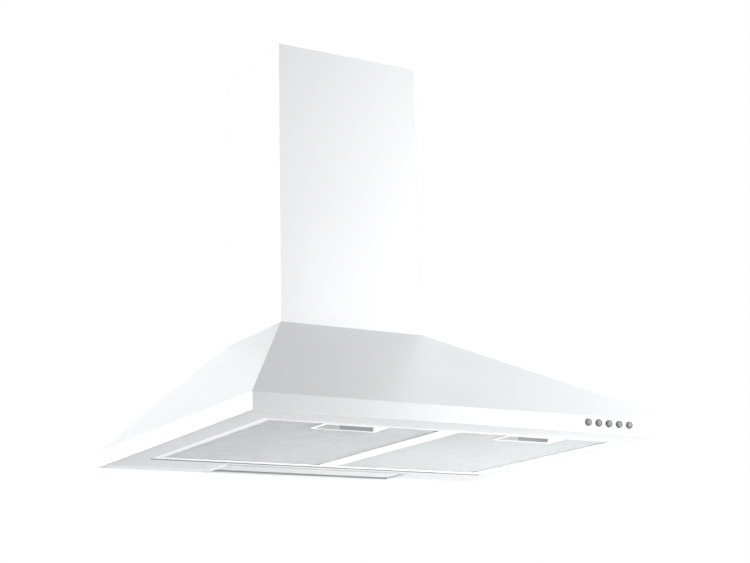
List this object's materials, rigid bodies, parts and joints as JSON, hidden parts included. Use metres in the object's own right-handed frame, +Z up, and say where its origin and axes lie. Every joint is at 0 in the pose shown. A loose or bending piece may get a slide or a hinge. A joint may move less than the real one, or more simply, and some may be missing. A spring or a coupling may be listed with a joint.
{
  "type": "chimney range hood",
  "caption": "White pyramid chimney range hood with latching grease filters, lamp, push buttons, blower, check-flap duct spigot and telescoping chimney.",
  "frame": {"origin": "in the wall plane, midway between the two keyholes that the hood hangs from", "axes": "+X to the right as seen from the cooker, +Y into the wall, +Z up"},
  "size_m": [0.6, 0.5024, 0.582],
  "materials": {
    "white_enamel": "smooth semi-gloss white enamel on steel sheet",
    "zinc_steel": "galvanised steel sheet",
    "screw_steel": "zinc-plated screws",
    "aluminium_frame": "satin rolled aluminium",
    "aluminium_mesh": "layered expanded aluminium mesh",
    "handle_grey": "fine-grained grey moulding",
    "button_silver": "silver-painted moulding with a brighter cap",
    "switch_black": "black moulding",
    "lens_frost": "frosted translucent moulding",
    "bulb_glass": "opal glass",
    "cap_nickel": "nickel-plated cap",
    "holder_white": "heat-resistant white moulding",
    "blower_black": "black polypropylene moulding",
    "motor_grey": "grey lacquered steel can",
    "shaft_steel": "ground steel",
    "nut_brass": "plain brass",
    "flap_grey": "thin grey moulding",
    "box_grey": "light grey moulding",
    "capacitor_white": "white moulded can"
  },
  "bodies": {
    "hood_body": {"canopy_shell": "white_enamel", "underside_panel": "white_enamel", "lower_chimney": "white_enamel", "back_panel": "white_enamel", "seam_screws": "screw_steel", "blower_screws": "screw_steel", "lamp_tray": "white_enamel", "switch_housing": "switch_black", "scroll_front": "blower_black", "scroll_rear": "blower_black", "inlet_ring": "blower_black", "motor_plate": "zinc_steel", "motor": "motor_grey", "outlet_adaptor": "blower_black", "flap_pin": "shaft_steel", "terminal_box": "box_grey", "terminal_lid": "box_grey", "terminal_block": "holder_white", "cable_gland": "switch_black", "capacitor": "capacitor_white", "capacitor_clip": "zinc_steel", "lamp_holder_left": "holder_white", "bulb_cap_left": "cap_nickel", "bulb_left": "bulb_glass", "blower_hanger_left": "zinc_steel", "lamp_holder_right": "holder_white", "bulb_cap_right": "cap_nickel", "bulb_right": "bulb_glass", "blower_hanger_right": "zinc_steel"},
    "upper_chimney": {"upper_chimney": "white_enamel", "chimney_bracket": "zinc_steel"},
    "lamp_lens": {"lamp_lens": "lens_frost"},
    "fan": {"impeller_disc": "blower_black", "impeller_blades": "blower_black", "impeller_ring": "blower_black", "motor_shaft": "shaft_steel", "shaft_nut": "nut_brass"},
    "filter_left": {"filter_frame_left": "aluminium_frame", "filter_mesh_left": "aluminium_mesh", "filter_handle_left": "handle_grey"},
    "latch_left": {"filter_latch_left": "handle_grey"},
    "flap_left": {"flap_left": "flap_grey"},
    "filter_right": {"filter_frame_right": "aluminium_frame", "filter_mesh_right": "aluminium_mesh", "filter_handle_right": "handle_grey"},
    "latch_right": {"filter_latch_right": "handle_grey"},
    "flap_right": {"flap_right": "flap_grey"},
    "button_off": {"button_off": "button_silver"},
    "button_low": {"button_low": "button_silver"},
    "button_medium": {"button_medium": "button_silver"},
    "button_high": {"button_high": "button_silver"},
    "button_lamp": {"button_lamp": "button_silver"}
  },
  "joints": [
    {"name": "chimney_slide", "type": "slide", "parent": "hood_body", "child": "upper_chimney", "axis": [0, 0, 1], "range_m": [0, 0.3]},
    {"name": "lens_tilt", "type": "hinge", "parent": "hood_body", "child": "lamp_lens", "pos_m": [0, -0.019, -0.1255], "axis": [1, 0, 0], "range_deg": [0, 80]},
    {"name": "fan_spin", "type": "hinge", "parent": "hood_body", "child": "fan", "pos_m": [0.0245, -0.095, -0.002], "axis": [0, 1, 0], "continuous": true},
    {"name": "filter_tilt_left", "type": "hinge", "parent": "hood_body", "child": "filter_left", "pos_m": [-0.12787, -0.0846, -0.1269], "axis": [1, 0, 0], "range_deg": [0, 70]},
    {"name": "latch_slide_left", "type": "slide", "parent": "filter_left", "child": "latch_left", "axis": [0, 1, 0], "range_m": [0, 0.006], "stiffness_N_per_m": 400},
    {"name": "flap_swing_left", "type": "hinge", "parent": "hood_body", "child": "flap_left", "pos_m": [0, -0.095, 0.157], "axis": [0, 1, 0], "range_deg": [0, 75]},
    {"name": "filter_tilt_right", "type": "hinge", "parent": "hood_body", "child": "filter_right", "pos_m": [0.12787, -0.0846, -0.1269], "axis": [1, 0, 0], "range_deg": [0, 70]},
    {"name": "latch_slide_right", "type": "slide", "parent": "filter_right", "child": "latch_right", "axis": [0, 1, 0], "range_m": [0, 0.006], "stiffness_N_per_m": 400},
    {"name": "flap_swing_right", "type": "hinge", "parent": "hood_body", "child": "flap_right", "pos_m": [0, -0.095, 0.157], "axis": [0, -1, 0], "range_deg": [0, 75]},
    {"name": "press_off", "type": "slide", "parent": "hood_body", "child": "button_off", "axis": [0, 1, 0], "range_m": [0, 0.0024], "stiffness_N_per_m": 300},
    {"name": "press_low", "type": "slide", "parent": "hood_body", "child": "button_low", "axis": [0, 1, 0], "range_m": [0, 0.0024], "stiffness_N_per_m": 300},
    {"name": "press_medium", "type": "slide", "parent": "hood_body", "child": "button_medium", "axis": [0, 1, 0], "range_m": [0, 0.0024], "stiffness_N_per_m": 300},
    {"name": "press_high", "type": "slide", "parent": "hood_body", "child": "button_high", "axis": [0, 1, 0], "range_m": [0, 0.0024], "stiffness_N_per_m": 300},
    {"name": "press_lamp", "type": "slide", "parent": "hood_body", "child": "button_lamp", "axis": [0, 1, 0], "range_m": [0, 0.0024], "stiffness_N_per_m": 300}
  ]
}
